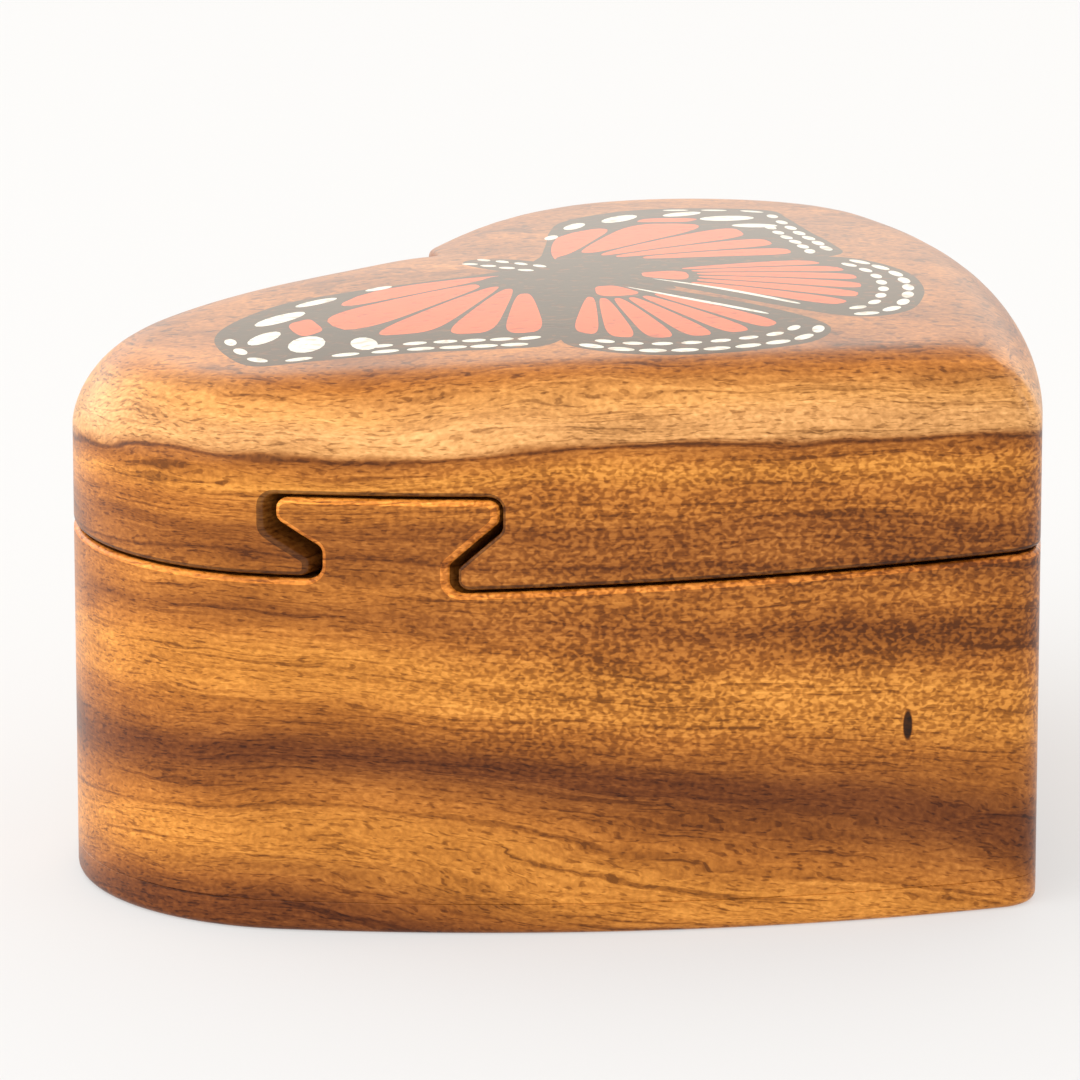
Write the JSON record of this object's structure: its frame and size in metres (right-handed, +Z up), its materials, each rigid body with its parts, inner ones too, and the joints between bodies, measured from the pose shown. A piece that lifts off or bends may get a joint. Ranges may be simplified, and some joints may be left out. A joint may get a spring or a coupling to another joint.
{
  "type": "wooden jewelry box",
  "caption": "Heart-shaped wooden box with a hollow compartment and a domed lid that slides off sideways on dovetail rails, with a painted butterfly on top.",
  "frame": {"origin": "middle of the box's bounding rectangle, on the surface that it stands on", "axes": "+Z up, +Y from the heart's point towards its two lobes, +X to the right across the lobes, along the slide of the lid"},
  "size_m": [0.12, 0.0966, 0.0619],
  "materials": {
    "base_wood": "satin varnish over figured orange-brown hardwood with a dark reddish band",
    "plate_wood": "satin varnish over brown hardwood",
    "lid_wood": "satin varnish over hardwood, light on the dome and dark at the cut, painted flat with an orange, black and white butterfly"
  },
  "bodies": {
    "box": {"base": "base_wood", "bottom_plate": "plate_wood"},
    "lid": {"lid": "lid_wood"}
  },
  "joints": [
    {"name": "lid_slide", "type": "slide", "parent": "box", "child": "lid", "axis": [1, 0, 0], "range_m": [-0.12, 0.12]}
  ]
}
